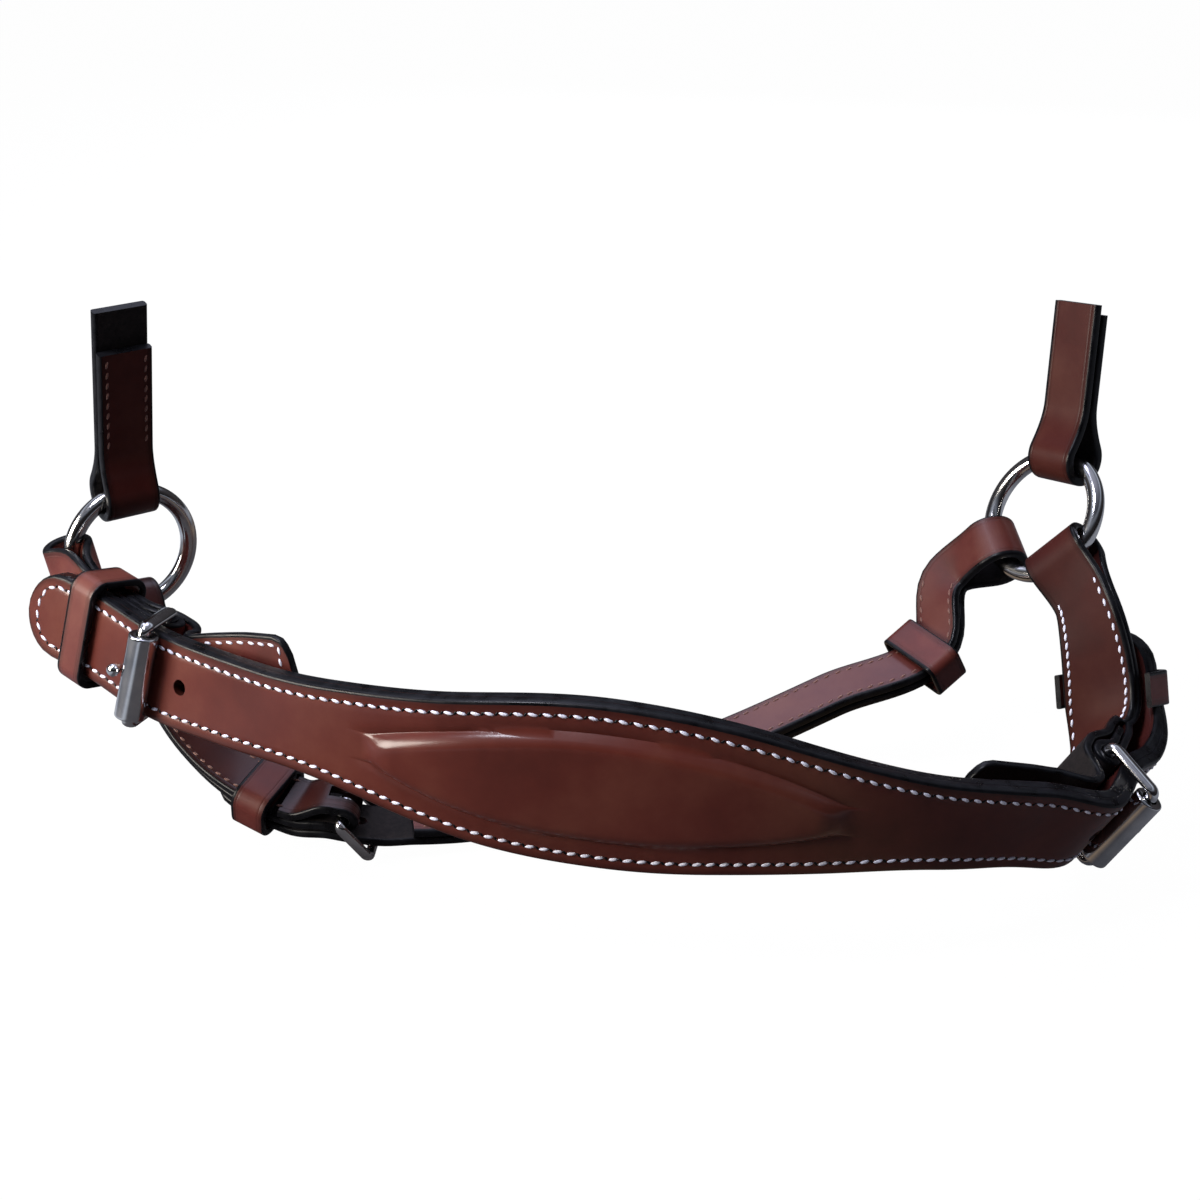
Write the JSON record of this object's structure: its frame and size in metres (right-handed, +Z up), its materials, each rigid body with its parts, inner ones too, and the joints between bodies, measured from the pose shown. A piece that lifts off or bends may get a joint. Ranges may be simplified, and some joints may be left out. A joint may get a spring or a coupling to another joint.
{
  "type": "drop noseband of a bridle",
  "caption": "Drop noseband of a bridle: raised, shaped nose piece on roller buckles, side pieces on rings, cheek straps cut short and a buckled chin strap.",
  "frame": {"origin": "on the inner face of the nose piece, at its middle, where it lies on the horse's nose", "axes": "+X towards the viewer's right in the picture, along the nose piece; +Y from the nose piece towards the horse's jaw; +Z up, towards the cheek straps' tops"},
  "size_m": [0.3322, 0.1502, 0.1455],
  "materials": {
    "leather_brown": "glossy reddish brown bridle leather with black dressed edges",
    "steel": "bright polished steel",
    "filler": "felt under the raised leather"
  },
  "bodies": {
    "noseband": {"nose_face": "leather_brown", "nose_lining": "leather_brown", "nose_filler": "filler", "side_piece_left": "leather_brown", "side_piece_right": "leather_brown", "keeper_left": "leather_brown", "keeper_right": "leather_brown", "buckle_frame_left": "steel", "buckle_frame_right": "steel"},
    "ring_left": {"ring_left": "steel"},
    "ring_right": {"ring_right": "steel"},
    "cheek_left": {"cheek_strap_left": "leather_brown"},
    "cheek_right": {"cheek_strap_right": "leather_brown"},
    "roller_left": {"roller_left": "steel"},
    "roller_right": {"roller_right": "steel"},
    "prong_left": {"prong_left": "steel"},
    "prong_right": {"prong_right": "steel"},
    "chin": {"chin_strap": "leather_brown", "chin_short_strap": "leather_brown", "chin_buckle_frame": "steel", "chin_keeper_left": "leather_brown"},
    "chin_prong": {"chin_prong": "steel"},
    "chin_keeper": {"chin_keeper_right": "leather_brown"}
  },
  "joints": [
    {"name": "ring_left_turn", "type": "hinge", "parent": "noseband", "child": "ring_left", "pos_m": [-0.141, 0.1098, 0.0155], "axis": [0.5708, -0.8211, 0], "continuous": true},
    {"name": "ring_right_turn", "type": "hinge", "parent": "noseband", "child": "ring_right", "pos_m": [0.1332, 0.1141, 0.0247], "axis": [-0.7269, -0.4577, 0.5119], "continuous": true},
    {"name": "cheek_left_swing", "type": "hinge", "parent": "noseband", "child": "cheek_left", "pos_m": [-0.141, 0.1098, 0.034], "axis": [-0.8211, -0.5708, 0], "range_deg": [-40, 40]},
    {"name": "cheek_right_swing", "type": "hinge", "parent": "noseband", "child": "cheek_right", "pos_m": [0.13966, 0.12142, 0.04041], "axis": [-0.5914, 0.7962, -0.1279], "range_deg": [-40, 40]},
    {"name": "roller_left_turn", "type": "hinge", "parent": "noseband", "child": "roller_left", "pos_m": [-0.12715, 0.04733, 0.00462], "axis": [0.24, 0.0987, 0.9657], "continuous": true},
    {"name": "roller_right_turn", "type": "hinge", "parent": "noseband", "child": "roller_right", "pos_m": [0.14156, 0.02563, -0.03063], "axis": [0.4866, -0.1686, 0.8572], "continuous": true},
    {"name": "prong_left_lift", "type": "hinge", "parent": "noseband", "child": "prong_left", "pos_m": [-0.12341, 0.06366, 0.00202], "axis": [-0.24, -0.0987, -0.9657], "range_deg": [0, 7]},
    {"name": "prong_right_lift", "type": "hinge", "parent": "noseband", "child": "prong_right", "pos_m": [0.13284, 0.03814, -0.02322], "axis": [0.4866, -0.1686, 0.8572], "range_deg": [0, 7]},
    {"name": "chin_swing", "type": "hinge", "parent": "noseband", "child": "chin", "pos_m": [0.12108, 0.11852, 0.01144], "axis": [-0.9979, -0.0365, -0.0544], "range_deg": [-6, 6]},
    {"name": "chin_prong_lift", "type": "hinge", "parent": "chin", "child": "chin_prong", "pos_m": [-0.07218, 0.04953, -0.03771], "axis": [0.0926, 0.9822, 0.1634], "range_deg": [0, 3]},
    {"name": "chin_keeper_slide", "type": "slide", "parent": "chin", "child": "chin_keeper", "axis": [-0.7579, -0.4149, -0.5035], "range_m": [0, 0.005]}
  ]
}
